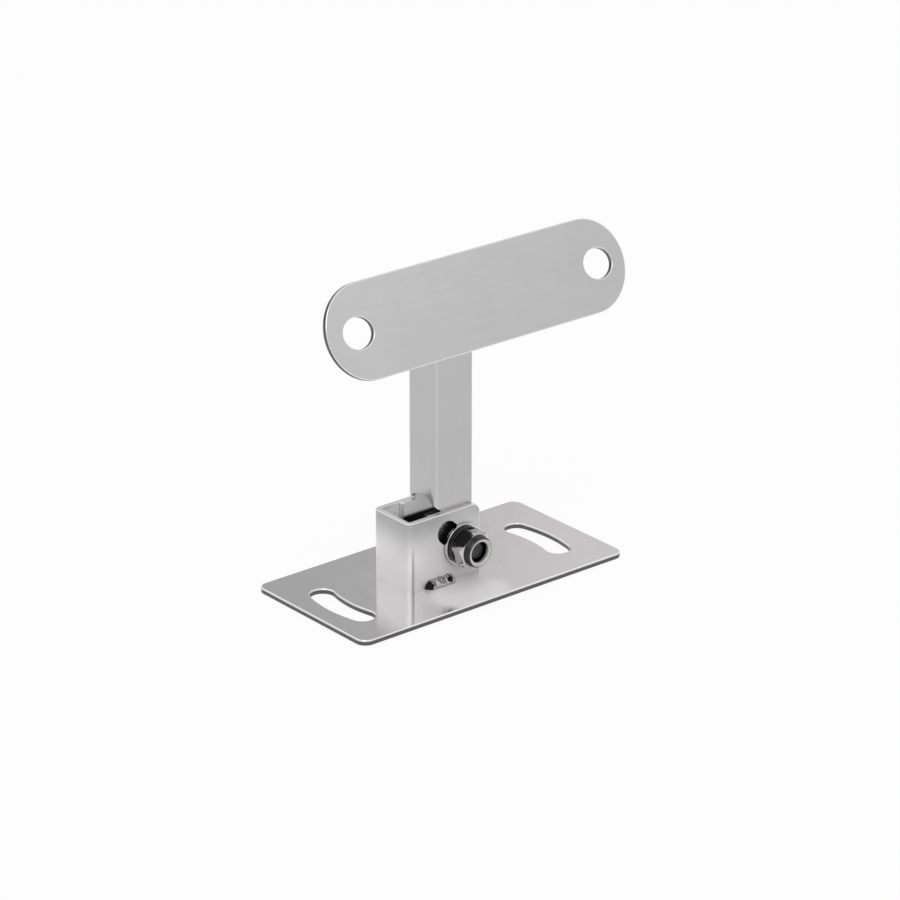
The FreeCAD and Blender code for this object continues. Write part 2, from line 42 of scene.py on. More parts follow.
# Sizes in millimetres, in the frame's axes. The bolt's axis lies along Y, so a place of it is (x, z).
SHEET = 2.0
PIVOT = (0.6, 15.0)
SLOT_END = (-5.64, 20.92)
HOLE_RADIUS = 4.08
NUT_SEAT = -13.0
HEAD_SEAT = 11.8
FLATS = 13.0
WASHER_THICK = 1.6
WASHER_RADIUS = 8.0
BOLT_LENGTH = 30.0

# The speaker plate leans back from upright. Its back lies on the arm's mitred end, which meets the arm's
# front at the mitre's height.
LEAN = math.radians(24.5)
MITRE_HEIGHT = 86.2
SPEAKER_BACK_MIDDLE = Vector((15.2, -0.604, 101.442))

# How finely the shapes are divided, how near a cut takes a point as lying on it, and the triangles that are
# left out as having no area
EDGE_STEPS = 4
FOLD_STEPS = 8
RING_STEPS = 96
HEXAGON_STEPS = 144
CUT_NEARNESS = 1e-5
NO_AREA = 1e-9


class Channel:
    """A folded sheet, open towards +X: a flange in front, a web on the left and a flange behind. Its width
    while it is flat is that of the two flanges, the two bends and the web."""

    def __init__(self, right, left, front, depth, bend):
        self.right, self.left, self.front, self.depth, self.bend = right, left, front, depth, bend
        self.back = front + depth
        self.neutral = bend - SHEET / 2
        self.flange = right - (left + bend)
        self.corner = self.neutral * math.pi / 2
        self.web = depth - 2 * bend
        self.web_start = self.flange + self.corner
        self.web_end = self.web_start + self.web
        self.width = 2 * self.web_start + self.web


HOLDER = Channel(right=9.3, left=-23.3, front=-9.8, depth=20.0, bend=2.5)
ARM = Channel(right=7.5, left=-9.5, front=-7.55, depth=15.5, bend=2.3)


# Outlines, as closed lists of points with the material on their left

def arc(cx, cy, r, start, end, steps):
    """Points on an arc, angles in degrees."""
    turns = [math.radians(start + (end - start) * i / steps) for i in range(steps + 1)]
    return [(cx + r * math.cos(a), cy + r * math.sin(a)) for a in turns]


def rounded(corners, steps):
    """A polygon whose corners are given as (x, y, radius); a radius of 0 keeps a point as it is."""
    points = []
    count = len(corners)
    for i, (x, y, r) in enumerate(corners):
        if r <= 0:
            points.append((x, y))
            continue
        here = Vector((x, y))
        before = (Vector(corners[i - 1][:2]) - here).normalized()
        after = (Vector(corners[(i + 1) % count][:2]) - here).normalized()
        half = before.angle(after) / 2
        reach = r / math.tan(half)
        first, last = here + before * reach, here + after * reach
        middle = here + (before + after).normalized() * (r / math.sin(half))
        a0 = math.atan2(*(first - middle).yx)
        a1 = math.atan2(*(last - middle).yx)
        sweep = (a1 - a0 + math.pi) % (2 * math.pi) - math.pi
        for k in range(steps + 1):
            a = a0 + sweep * k / steps
            points.append((middle.x + r * math.cos(a), middle.y + r * math.sin(a)))
    return points


def inset(loop, distance):
    """Each point moved into the material, square to its own stretch of the edge."""
    moved = []
    count = len(loop)
    for i in range(count):
        here = Vector(loop[i])
        a = (here - Vector(loop[i - 1])).normalized()
        b = (Vector(loop[(i + 1) % count]) - here).normalized()
        side = Vector((-a.y - b.y, a.x + b.x))
        stretch = side.length_squared / 2
        moved.append(tuple(here + side * (distance / max(stretch, 0.4))))
    return moved


# Sheets

def sheet_mesh(loops, low_edge, high_edge, filed=False):
    """A flat sheet with rounded edges: the first loop is its outline, the others are its holes. The outline's
    cut takes the second material and the holes' cuts the third, with their rounding where they are filed."""
    bm = bmesh.new()
    quarter = [math.radians(90 * k / EDGE_STEPS) for k in range(EDGE_STEPS + 1)]
    levels = [(low_edge * (1 - math.sin(a)), low_edge * (1 - math.cos(a))) for a in quarter]
    levels += [(high_edge * (1 - math.cos(a)), SHEET - high_edge * (1 - math.sin(a))) for a in quarter]
    low_rings, high_rings = [], []
    for loop in loops:
        rings = [[bm.verts.new((x, y, height)) for x, y in inset(loop, distance)]
                 for distance, height in levels]
        for k, (low, high) in enumerate(zip(rings, rings[1:])):
            for i in range(len(loop)):
                j = (i + 1) % len(loop)
                face = bm.faces.new((low[i], low[j], high[j], high[i]))
                if k == EDGE_STEPS or filed:
                    face.material_index = 1 if loop is loops[0] else 2
        for ring in (rings[0], rings[-1]):
            for i in range(len(loop)):
                bm.edges.get((ring[i - 1], ring[i])).smooth = False
        low_rings.append(rings[0])
        high_rings.append(rings[-1])
    for rings, upward in ((low_rings, False), (high_rings, True)):
        verts = [v for ring in rings for v in ring]
        for corners in tessellate_polygon([[v.co.copy() for v in ring] for ring in rings]):
            face = [verts[i] for i in corners]
            normal = (face[1].co - face[0].co).cross(face[2].co - face[0].co)
            if normal.length < NO_AREA:
                continue
            if (normal.z > 0) != upward:
                face.reverse()
            bm.faces.new(face)
    return bm


def cut_across(bm, place, direction, **options):
    """Divides a mesh along a plane."""
    whole = bm.verts[:] + bm.edges[:] + bm.faces[:]
    return bmesh.ops.bisect_plane(bm, geom=whole, dist=CUT_NEARNESS, plane_co=place, plane_no=direction,
                                  **options)


def folded(bm, channel, flat_below=0.0):
    """Folds a flat sheet to a channel. Below a height the flanges only reach out in their own planes."""
    c = channel
    for start in (c.flange, c.web_end):
        for k in range(FOLD_STEPS + 1):
            cut_across(bm, (start + c.corner * k / FOLD_STEPS, 0, 0), (1, 0, 0))
    for v in bm.verts:
        s, z, t = v.co
        if s <= c.flange or (z < flat_below and s < c.web_start + c.web / 2):
            v.co = (c.right - s, c.front + t, z)
        elif z < flat_below:
            v.co = (c.right - (c.width - s), c.back - t, z)
        elif s <= c.web_start:
            a = (s - c.flange) / c.neutral
            r = c.bend - t
            v.co = (c.left + c.bend - r * math.sin(a), c.front + c.bend - r * math.cos(a), z)
        elif s <= c.web_end:
            v.co = (c.left + t, c.front + c.bend + s - c.web_start, z)
        elif s <= c.web_end + c.corner:
            a = (s - c.web_end) / c.neutral
            r = c.bend - t
            v.co = (c.left + c.bend - r * math.cos(a), c.back - c.bend + r * math.sin(a), z)
        else:
            v.co = (c.left + c.bend + s - c.web_end - c.corner, c.back - t, z)


def piece(name, bm, body, node, materials, turn=Matrix()):
    """Makes an object in metres from a mesh in millimetres. It stands for a node and moves with its body."""
    bm.transform(turn)
    bm.transform(Matrix.Scale(MM, 4))
    mesh = bpy.data.meshes.new(name)
    bm.to_mesh(mesh)
    bm.free()
    mesh.polygons.foreach_set("use_smooth", [True] * len(mesh.polygons))
    for material in materials:
        mesh.materials.append(material)
    obj = bpy.data.objects.new(name, mesh)
    bpy.context.scene.collection.objects.link(obj)
    level = obj.modifiers.new("level", "WEIGHTED_NORMAL")
    level.keep_sharp = True
    level.weight = 100
    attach(obj, body)
    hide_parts(node)


# Materials

def rgba(colour):
    """Three numbers as a colour with its alpha, or one number as a grey."""
    if isinstance(colour, (int, float)):
        colour = (colour,) * 3
    return (*colour, 1)[:4]


class Nodes:
    """A short way to write the node tree of a material or of the world."""

    def __init__(self, owner, place="Object"):
        owner.use_nodes = True
        self.tree = owner.node_tree
        self.shader = self.tree.nodes.get("Principled BSDF")
        self.place = self.tree.nodes.new("ShaderNodeTexCoord").outputs[place]

    def put(self, socket, value):
        """Gives a socket what it takes: another node's output, or a number, place or colour."""
        if isinstance(value, bpy.types.NodeSocket):
            self.tree.links.new(value, socket)
        else:
            socket.default_value = rgba(value) if socket.type == "RGBA" else value

    def add(self, kind, *values, **named):
        """A node with its settings and inputs by name, or its inputs in their order."""
        node = self.tree.nodes.new("ShaderNode" + kind)
        for key, value in named.items():
            if key in node.inputs:
                self.put(node.inputs[key], value)
            else:
                setattr(node, key, value)
        for socket, value in zip(node.inputs, values):
            self.put(socket, value)
        return node

    def noise(self, scale, detail=3.0, stretch=(1, 1, 1)):
        place = self.place
        if stretch != (1, 1, 1):
            place = self.add("Mapping", Vector=place, Scale=stretch).outputs[0]
        return self.add("TexNoise", Vector=place, Scale=scale, Detail=detail, Roughness=0.55).outputs["Fac"]

    def ramp(self, value, *stops):
        """Colours by a value, from stops of the value and its colour."""
        node = self.add("ValToRGB", Fac=value)
        bar = node.color_ramp
        while len(bar.elements) < len(stops):
            bar.elements.new(0.5)
        for element, (at, colour) in zip(bar.elements, stops):
            element.position = at
            element.color = rgba(colour)
        return node.outputs["Color"]

    def step(self, value, start, end, first=0.0, last=1.0):
        """Goes softly from first, where a value is at start, to last, where it is at end."""
        return self.add("MapRange", value, start, end, first, last, interpolation_type="SMOOTHSTEP").outputs[0]

    def near(self, place, inner, outer):
        """1 within the inner distance of a place, 0 beyond the outer one."""
        gap = self.add("VectorMath", self.place, place, operation="DISTANCE")
        return self.step(gap.outputs["Value"], inner, outer, 1.0, 0.0)

    def along(self, direction, low, high):
        """How far a place lies along a direction: 0 at low and 1 at high."""
        reach = self.add("VectorMath", self.place, direction, operation="DOT_PRODUCT")
        return self.step(reach.outputs["Value"], low, high)

    def band(self, direction, low, high, soft):
        """1 between two distances along a direction, with soft ends."""
        return self.mix(self.along(direction, high - soft, high), self.along(direction, low, low + soft), 0.0)

    def mix(self, share, a, b):
        return self.add("MixRGB", share, a, b).outputs[0]

    def times(self, a, b):
        return self.add("MixRGB", 1.0, a, b, blend_type="MULTIPLY").outputs[0]

    def rays(self, *kinds):
        """1 for rays of any of these kinds."""
        path = self.add("LightPath")
        share, *others = [path.outputs[f"Is {kind} Ray"] for kind in kinds]
        for other in others:
            share = self.add("Math", share, other, operation="MAXIMUM").outputs[0]
        return share


# Roughness of the painted dark spots and of the places painted pale and matt, the tone of the painted dark spots,
# and the sizes of noise as patches to a metre
MATT = 0.6
PAINTED_DARK_TONE = 0.012
CLOUDS, DULLNESS, WAVES, ROLLING, CRUMBS, GRAIN = 28, 45, 55, 240, 900, 5000


def grey(v):
    """The very slightly purple grey of the plating."""
    return (v, v * 0.985, v * 0.99)


def zinc(name, tone=0.6, rough=0.2, grain=(1, 1, 1), reach=0.009, shade=(0.22, 0.45), painted_shade_tone=0.02, painted_light_at=None,
         painted_dark_at=(), painted_pocket=None, painted_fade=None, painted_bend_line=None):
    """Bright zinc plate: slow cloudy tone and faint rolling lines, with painted shade that darkens deep corners
    and gaps.
    reach and shade say how deep, and painted_shade_tone how dark. painted_light_at is a place painted pale and
    matt as painted light, with the distances at which this is full and gone and its tone, and painted_dark_at are
    near-black matt spots with their size: painted shade in gaps and painted dark reflections. painted_pocket
    gives how closed in a surface is where it is painted pale and matt as painted light, and the height below
    which
    it is painted black there as painted shadow. painted_fade is a slow change of the tone across a direction:
    painted shade. painted_bend_line is a line in the tone, also across a direction, which starts below a height:
    a painted highlight where it lightens and a painted dark reflection where it darkens."""
    material = bpy.data.materials.new(name)
    n = Nodes(material)
    cloud = n.ramp(n.noise(CLOUDS, 4), (0.3, grey(tone * 0.975)), (0.7, grey(tone * 1.02)))
    streak = n.ramp(n.noise(ROLLING, 2, grain), (0.35, 0.985), (0.65, 1.0))
    colour = n.times(cloud, streak)
    # Painted shade: the tone darkens slowly across a direction.
    if painted_fade:
        direction, low, high, factor = painted_fade
        colour = n.mix(n.along(direction, low, high), n.times(colour, factor), colour)
    # Painted highlight and painted dark reflection: a line along a bend, lighter where the factor is above 1 and
    # darker where it is below.
    if painted_bend_line:
        direction, low, high, factor, top = painted_bend_line
        soft_end = 0.01
        below = n.along((0, 0, -1), -top, soft_end - top)
        line = n.mix(below, 0.0, n.band(direction, low, high, (high - low) / 3))
        colour = n.mix(line, colour, n.times(colour, factor))
    # Painted shade: the colour goes dark where little open air is around a point, deep in corners, gaps and
    # slots.
    open_air = n.add("AmbientOcclusion", Distance=reach, samples=16).outputs["AO"]
    colour = n.times(colour, n.ramp(open_air, (shade[0], painted_shade_tone), (shade[1], 1.0)))
    gloss = n.ramp(n.noise(DULLNESS, 5), (0.3, rough * 0.8), (0.75, rough * 1.3))
    metal = 1.0
    # Painted light and painted shadow in hollows: closed-in surfaces are painted pale and matt for the light that
    # reaches into them, and black below a height for the shadow there.
    if painted_pocket:
        closed, bare, shadow_top = painted_pocket
        open_part = n.ramp(open_air, (closed, 0.0), (bare, 1.0))
        pocket_paint = n.mix(n.along((0, 0, 1), shadow_top, shadow_top + 0.0015), 0.01, 0.95)
        colour = n.mix(open_part, pocket_paint, colour)
        gloss = n.mix(open_part, MATT, gloss)
        metal = n.mix(open_part, 0.0, metal)
    # Painted light: a pale matt patch about a place lifts the tone there.
    if painted_light_at:
        *place, inner, outer, level = painted_light_at
        grainy = n.mix(0.55, n.near(place, inner, outer), n.noise(GRAIN, 0))
        haze = n.ramp(grainy, (0.36, 0.0), (0.68, 0.85))
        colour = n.mix(haze, colour, grey(level))
        gloss = n.mix(haze, gloss, MATT)
        metal = n.mix(haze, metal, 0.0)
    # Painted dark spots: near-black and matt, painted shade in gaps and painted dark reflections.
    for *place, size in painted_dark_at:
        patch = n.mix(0.5, n.near(place, size * 0.2, size * 1.5), n.noise(CRUMBS, 3))
        dark_patch = n.ramp(patch, (0.48, 0.0), (0.54, 1.0))
        colour = n.mix(dark_patch, colour, PAINTED_DARK_TONE)
        gloss = n.mix(dark_patch, gloss, MATT)
        metal = n.mix(dark_patch, metal, 0.0)
    fine = n.add("Bump", Height=n.noise(CRUMBS, 3, grain), Strength=0.03, Distance=0.0004)
    wave = n.add("Bump", Height=n.noise(WAVES, 2), Strength=0.03, Distance=0.002, Normal=fine.outputs[0])
    for socket, value in (("Base Color", colour), ("Roughness", gloss), ("Metallic", metal),
                          ("Specular IOR Level", 0.05), ("Normal", wave.outputs[0])):
        n.put(n.shader.inputs[socket], value)
    return material


# Painted light: a pale matt patch on the wall plate in front of the holder.
ZINC_WALL = zinc("zinc_wall", tone=0.9, rough=0.09, grain=(0.3, 2, 1), shade=(0.1, 0.3),
                 painted_light_at=(-0.006, -0.021, 0.002, 0.008, 0.022, 0.79))
# Painted shade darkens the holder towards its top and paints a dark reflection along its front-left bend; a pale
# matt patch on its front is painted light, and its pocket is painted pale with painted shadow below a height.
ZINC_HOLDER = zinc("zinc_holder", tone=0.86, rough=0.36, grain=(1, 1, 0.3), reach=0.03, shade=(0.1, 0.2),
                   painted_pocket=(0.36, 0.46, 0.0215), painted_fade=((0, 0, -1), -0.0285, -0.012, 0.52),
                   painted_light_at=(-0.003, -0.0098, 0.0125, 0.008, 0.022, 0.68),
                   painted_bend_line=((-1, 0, 0), 0.0206, 0.0219, 0.5, 0.022))
# Painted highlight along the arm's front-left bend; its pocket is painted pale with painted shadow below a
# height; a painted dark spot about the bolt stands for the shade seen through the holder's slot.
ZINC_ARM = zinc("zinc_arm", tone=0.5, grain=(2, 2, 0.3), reach=0.03, shade=(0.19, 0.24),
                painted_pocket=(0.4, 0.5, 0.0231), painted_bend_line=((-0.5, -0.866, 0), 0.0103, 0.0110, 1.16, 0.14),
                painted_dark_at=[(0.0006, -0.0075, 0.015, 0.0115)])
# Painted shade: the speaker plate darkens slightly towards its right end.
ZINC_SPEAKER = zinc("zinc_speaker", tone=0.79, rough=0.18, grain=(0.3, 2, 2),
                    painted_fade=((-1, 0, 0), -0.08, 0.05, 0.96))
ZINC_FASTENER = zinc("zinc_fastener", rough=0.1, reach=0.004, shade=(0.3, 0.6))
# A painted dark reflection: a near-black spot on the nut's upper-left.
ZINC_NUT = zinc("zinc_nut", tone=0.58, rough=0.1, reach=0.004, shade=(0.4, 0.75),
                painted_dark_at=[(-0.0036, -0.0152, 0.0203, 0.0048)])
# Painted shade and painted dark reflection: near-black zinc for the nut collar's side, the spring washer and the
# bolt's end inside the nut.
ZINC_PAINTED_DARK = zinc("zinc_painted_dark", tone=0.06, rough=0.3, reach=0.006, shade=(0.3, 0.62))
# The plates' cut edges are dark: partly the duller sheared metal, partly painted shade.
EDGE_DARK = zinc("cut_edge", tone=0.12, rough=0.3, reach=0.002)
# Pale matt cut edges of the holder: partly the bare filed metal, partly painted light on its top edges.
EDGE_PALE = zinc("filed_and_lit_edge", tone=0.9, rough=0.4, reach=0.001)
# The arm's pale matt cut edges: partly bare filed metal, partly painted light, with a painted dark spot for the
# shade in the gap just above the holder's top.
EDGE_ARM = zinc("filed_and_lit_arm_edge", tone=0.9, rough=0.4, reach=0.001,
                painted_dark_at=[(-0.0100, -0.0065, 0.0288, 0.004)])
# Painted shade: near-black walls of the holes and slots in the holder and arm.
HOLE_SHADE = zinc("painted_shade_hole_edge", tone=0.03, rough=0.4, reach=0.002)
# Painted dark reflections: near-black spots on the weld beads, for the dark glints of their uneven surface.
WELD = zinc("weld_metal", tone=0.5, rough=0.22, reach=0.004, shade=(0.25, 0.6),
            painted_dark_at=[(x, y, 0.0035, size) for x, size in ((-0.0154, 0.0026), (-0.0058, 0.0014))
                     for y in (-0.0115, 0.0119)])


def nylon():
    material = bpy.data.materials.new("nylon")
    n = Nodes(material)
    haze = n.add("Bump", Height=n.noise(600, 2), Strength=0.15, Distance=0.0003)
    n.put(n.shader.inputs["Base Color"], (0.62, 0.62, 0.6))
    n.put(n.shader.inputs["Roughness"], 0.45)
    n.put(n.shader.inputs["Normal"], haze.outputs[0])
    return material


# The bracket's sheets

def slot_loop(side):
    """A curved screw slot on the right (1) or the left (-1), walked the way that leaves the material on its
    left. spread is the angle from its middle to an end's centre, in degrees."""
    cx, cy, pitch, half, spread, steps = -1.6, -1.6, 46.4, 4.5, 14.2, 20
    base = 0 if side > 0 else 180
    a0, a1 = base - spread, base + spread
    ends = [(cx + pitch * math.cos(a), cy + pitch * math.sin(a)) for a in (math.radians(a0), math.radians(a1))]
    loop = arc(cx, cy, pitch + half, a0, a1, steps)
    loop += arc(*ends[1], half, a1, a1 + 180, steps)[1:]
    loop += arc(cx, cy, pitch - half, a1, a0, steps)[1:]
    loop += arc(*ends[0], half, a0 + 180, a0 + 360, steps)[1:-1]
    return loop[::-1]


def wall_plate():
    half_long, half_wide, corner = 60, 30.5, 4
    outline = rounded([(-half_long, -half_wide, corner), (half_long, -half_wide, corner),
                       (half_long, half_wide, corner), (-half_long, half_wide, corner)], 12)
    bm = sheet_mesh([outline, slot_loop(1), slot_loop(-1)], low_edge=0.12, high_edge=0.45)
    piece("wall_plate_sheet", bm, "wall_bracket", "wall_plate", (ZINC_WALL, EDGE_DARK, EDGE_DARK))


def speaker_plate():
    reach, radius = 50.0, 17.25
    outline = arc(reach, 0, radius, -90, 90, 48) + arc(-reach, 0, radius, 90, 270, 48)
    half_wide, half_high = 6.5, 5.6
    circle = arc(0, 0, 1, 360, 0, 56)[:-1]
    holes = [[(middle + half_wide * x, half_high * y) for x, y in circle] for middle in (-54, 55)]
    bm = sheet_mesh([outline] + holes, low_edge=0.15, high_edge=0.35)
    turn = Matrix.Translation(SPEAKER_BACK_MIDDLE) @ Matrix.Rotation(math.pi / 2 - LEAN, 4, "X")
    piece("speaker_plate_sheet", bm, "arm", "speaker_plate", (ZINC_SPEAKER, EDGE_DARK, EDGE_DARK), turn)


def holder():
    low, high, foot_corner, top_corner = 1.6, 28.5, 0.3, 3.5
    width = HOLDER.width
    outline = rounded([(0, low, foot_corner), (width, low, foot_corner),
                       (width, high, top_corner), (0, high, top_corner)], 12)
    (x0, z0), (x1, z1) = PIVOT, SLOT_END
    s0, s1 = HOLDER.right - x0, HOLDER.right - x1
    turn = math.degrees(math.atan2(z1 - z0, x0 - x1))
    holes = []
    for a, b, t in ((s0, s1, turn), (width - s0, width - s1, 180 - turn)):
        loop = arc(a, z0, HOLE_RADIUS, t + 90, t + 270, 24) + arc(b, z1, HOLE_RADIUS, t - 90, t + 90, 24)
        holes.append(loop[::-1])
    bm = sheet_mesh([outline] + holes, low_edge=0.3, high_edge=0.2, filed=True)
    folded(bm, HOLDER)
    piece("holder_sheet", bm, "wall_bracket", "holder_channel", (ZINC_HOLDER, EDGE_PALE, HOLE_SHADE))


def arm():
    """The web ends below in an arch that rises from its foot. The ears' upper edges lie a slit below that
    foot, and reach further to the left than the web."""
    top, foot, rise, ear_reach, slit, ear_corner = 116.34, 29.0, 4.4, 3.5, 0.2, 0.5
    flange, bend, depth, width = ARM.flange, ARM.bend, ARM.depth, ARM.width
    radius = ((depth / 2) ** 2 + rise ** 2) / (2 * rise)

    def arch(s):
        """Height of the web's lower edge at this place along the unfolded sheet."""
        if s < ARM.web_start:
            y = bend - bend * math.cos((s - flange) / ARM.corner * math.pi / 2)
        elif s < ARM.web_end:
            y = bend + s - ARM.web_start
        else:
            y = depth - bend + bend * math.sin((s - ARM.web_end) / ARM.corner * math.pi / 2)
        return foot + rise - radius + math.sqrt(max(radius ** 2 - (y - depth / 2) ** 2, 0))

    ear = (ARM.right - ARM.left + ear_reach) / 2
    tab, middle = foot - slit, PIVOT[1]
    near_end, far_end = 2 * ear, width - 2 * ear
    steps = 40
    across = [flange + (width - 2 * flange) * k / steps for k in range(steps + 1)]
    outline = [(0.0, top)]
    outline += arc(ear, middle, ear, 180, 360, 32)
    outline += rounded([(near_end, middle, 0), (near_end, tab, ear_corner), (flange, tab, 0)], 5)[1:]
    outline += [(s, arch(s)) for s in across]
    outline += rounded([(width - flange, tab, 0), (far_end, tab, ear_corner), (far_end, middle, 0)], 5)[:-1]
    outline += arc(width - ear, middle, ear, 180, 360, 32)
    outline += [(width, top)]
    hole = ARM.right - PIVOT[0]
    holes = [arc(s, middle, HOLE_RADIUS, 360, 0, 40)[:-1] for s in (hole, width - hole)]
    bm = sheet_mesh([outline] + holes, low_edge=0.25, high_edge=0.2, filed=True)
    folded(bm, ARM, flat_below=foot - slit / 2)
    ahead = Vector((0, -math.cos(LEAN), math.sin(LEAN)))
    cut = cut_across(bm, Vector((0, ARM.front, MITRE_HEIGHT)), ahead, clear_outer=True)
    rim = [e for e in cut["geom_cut"] if isinstance(e, bmesh.types.BMEdge)]
    for edge in rim:
        edge.smooth = False
    bmesh.ops.triangle_fill(bm, use_beauty=True, edges=rim)
    bmesh.ops.recalc_face_normals(bm, faces=bm.faces)
    piece("arm_sheet", bm, "arm", "arm_channel", (ZINC_ARM, EDGE_ARM, HOLE_SHADE))


# Turned pieces, about the pivot's axis

def clamped(value):
    return min(max(value, 0), 1)


def at_angle(value, a):
    """What a function gives at an angle, or a number as it is."""
    return value(a) if callable(value) else value


def ring_of(bm, radius, y, count):
    """A ring of points about the pivot's axis."""
    ring = []
    for i in range(count):
        a = 2 * math.pi * i / count
        r = at_angle(radius, a)
        ring.append(bm.verts.new((PIVOT[0] + r * math.cos(a), at_angle(y, a), PIVOT[1] + r * math.sin(a))))
    return ring


def skin(bm, rings, closed=False):
    """Joins rings of points to a skin. Its two ends are filled, or joined to each other where it is closed."""
    if closed:
        rings = rings + rings[:1]
    for a, b in zip(rings, rings[1:]):
        for i in range(len(a)):
            j = (i + 1) % len(a)
            bm.faces.new((a[i], a[j], b[j], b[i]))
    if not closed:
        bm.faces.new(rings[0])
        bm.faces.new(rings[-1])
    bmesh.ops.recalc_face_normals(bm, faces=bm.faces)


def turned(profile):
    """A ring turned from (radius, y) points."""
    bm = bmesh.new()
    skin(bm, [ring_of(bm, r, y, RING_STEPS) for r, y in profile], closed=True)
    return bm


def hexagonal(seat, height, way, bore, crown, turn=0.0):
    """A hexagon that stands on its seat, towards +Y or -Y as way is 1 or -1, with its corners turned off at 30
    degrees. crown is the turned part above it, as (radius, height above the seat) from the outside in; bore is
    the hole's radius, or 0 for none."""
    bm = bmesh.new()
    sharpness = 70
    face_radius, low_turned, high_turned = 6.2, 6.35, FLATS / 2 * 0.955
    slope = math.tan(math.radians(30))

    def side(a):
        """Radius of the hexagon, whose corners are rounded a little."""
        total = sum(abs(math.cos(a - turn - math.radians(30 + 60 * k))) ** sharpness for k in range(3))
        return FLATS / 2 / total ** (1 / sharpness)

    def low(a):
        return max(side(a) - low_turned, 0) * slope * 0.6

    def high(a):
        return height - max(side(a) - high_turned, 0) * slope

    profile = [(face_radius, 0), (lambda a: side(a) - 0.1, low), (side, lambda a: low(a) + 0.12),
               (side, lambda a: high(a) - 0.1), (lambda a: side(a) - 0.1, lambda a: high(a) + 0.03),
               (high_turned + 0.12, height - 0.06), (high_turned - 0.12, height), *crown]
    if bore:
        profile.append((bore, 0))
    rings = [ring_of(bm, radius, lambda a, h=h: seat + way * at_angle(h, a), HEXAGON_STEPS)
             for radius, h in profile]
    skin(bm, rings, closed=bool(bore))
    return bm


def lock_nut():
    """The nut and its round collar, whose outside is painted near-black: a painted dark reflection."""
    crown = [(5.95, 5.26), (5.74, 5.36), (5.65, 5.6), (5.65, 7.1), (5.58, 7.4), (5.4, 7.7), (5.15, 7.93),
             (4.9, 8.0), (4.76, 7.96), (4.7, 7.85), (4.7, 7.6), (5.1, 7.6), (5.1, 6.0), (4.02, 6.0)]
    bm = hexagonal(NUT_SEAT, height=5.2, way=-1, bore=4.02, crown=crown, turn=math.radians(-12))
    for face in bm.faces:
        middle = face.calc_center_median()
        reach = math.hypot(middle.x - PIVOT[0], middle.z - PIVOT[1])
        if 5.25 < reach < 5.97 and 5.22 < NUT_SEAT - middle.y < 7.9:
            face.material_index = 1
    piece("lock_nut_body", bm, "clamp", "lock_nut", (ZINC_NUT, ZINC_PAINTED_DARK))


def lock_nut_insert():
    inner, outer, high, low = 4.03, 5.09, NUT_SEAT - 6.0, NUT_SEAT - 7.6
    profile = [(inner, high), (outer, high), (outer, low + 0.05), (4.6, low - 0.1), (4.2, low),
               (inner, low + 0.2)]
    piece("lock_nut_ring", turned(profile), "clamp", "lock_nut_insert", (nylon(),))


def washer(node, low):
    high = low + WASHER_THICK
    inner, outer, edge, bevel, soft = HOLE_RADIUS, WASHER_RADIUS, 0.3, 0.18, 0.09
    profile = [(inner, low + bevel), (inner + bevel, low), (outer - edge, low), (outer - soft, low + soft),
               (outer, low + edge), (outer, high - edge), (outer - soft, high - soft), (outer - edge, high),
               (inner + bevel, high), (inner, high - bevel)]
    piece(node + "_disc", turned(profile), "clamp", node, (ZINC_FASTENER,))


def spring_washer():
    """A thick narrow ring with a slanted cut on the side towards +X."""
    bm = bmesh.new()
    inner, outer, high, corner = HOLE_RADIUS, 7.1, WASHER_THICK, 0.18
    section = [(inner + corner, 0), (outer - corner, 0), (outer, corner), (outer, high - corner),
               (outer - corner, high), (inner + corner, high), (inner, high - corner), (inner, corner)]
    half_cut, slant, steps = 0.6, 0.16, 120
    rows = []
    for k in range(steps + 1):
        row = []
        for r, h in section:
            start = math.asin(half_cut / r)
            a = start + (h / high - 0.5) * slant + (2 * math.pi - 2 * start) * k / steps
            row.append(bm.verts.new((PIVOT[0] + r * math.cos(a), NUT_SEAT + h, PIVOT[1] + r * math.sin(a))))
        rows.append(row)
    skin(bm, rows)
    # Painted shade: the whole ring takes the near-black zinc.
    piece("spring_washer_ring", bm, "clamp", "spring_washer", (ZINC_PAINTED_DARK,))


def bolt():
    """Hexagon head and a shank with a rolled thread."""
    crown = [(5.6, 5.28), (5.2, 5.2), (2.0, 5.15), (0.4, 5.15)]
    bm = hexagonal(HEAD_SEAT, height=5.3, way=1, bore=0, crown=crown)
    tip, dark_length = HEAD_SEAT - BOLT_LENGTH, 1.2
    outer, groove_depth, plain_length, run_out, tip_radius, tip_length = 3.98, 0.62, 3.0, 1.5, 3.15, 0.9
    count, pitch, per_turn = 64, 1.25, 10

    def thread(a, d):
        """The shank's radius at an angle and a distance from the head."""
        wave = abs((d / pitch + a / (2 * math.pi)) % 1.0 * 2 - 1)
        depth = groove_depth * clamped((d - plain_length) / run_out)
        r = outer - depth * (1 - clamped((wave - 0.12) / 0.74))
        left = BOLT_LENGTH - d
        return min(r, tip_radius + left) if left < tip_length else r

    steps = round(BOLT_LENGTH / pitch * per_turn)
    along = [BOLT_LENGTH * k / steps for k in range(steps + 1)]
    rings = [ring_of(bm, lambda a, d=d: thread(a, d), HEAD_SEAT - d, count) for d in along]
    rings += [ring_of(bm, r, tip - h, count) for r, h in ((2.6, 0.03), (1.2, 0.05))]
    skin(bm, rings)
    # Painted shade: the bolt's last stretch, inside the nut, takes the near-black zinc.
    for face in bm.faces:
        face.material_index = 1 if face.calc_center_median().y < tip + dark_length else 0
    piece("pivot_bolt_threaded", bm, "clamp", "pivot_bolt", (ZINC_FASTENER, ZINC_PAINTED_DARK))


# Welds

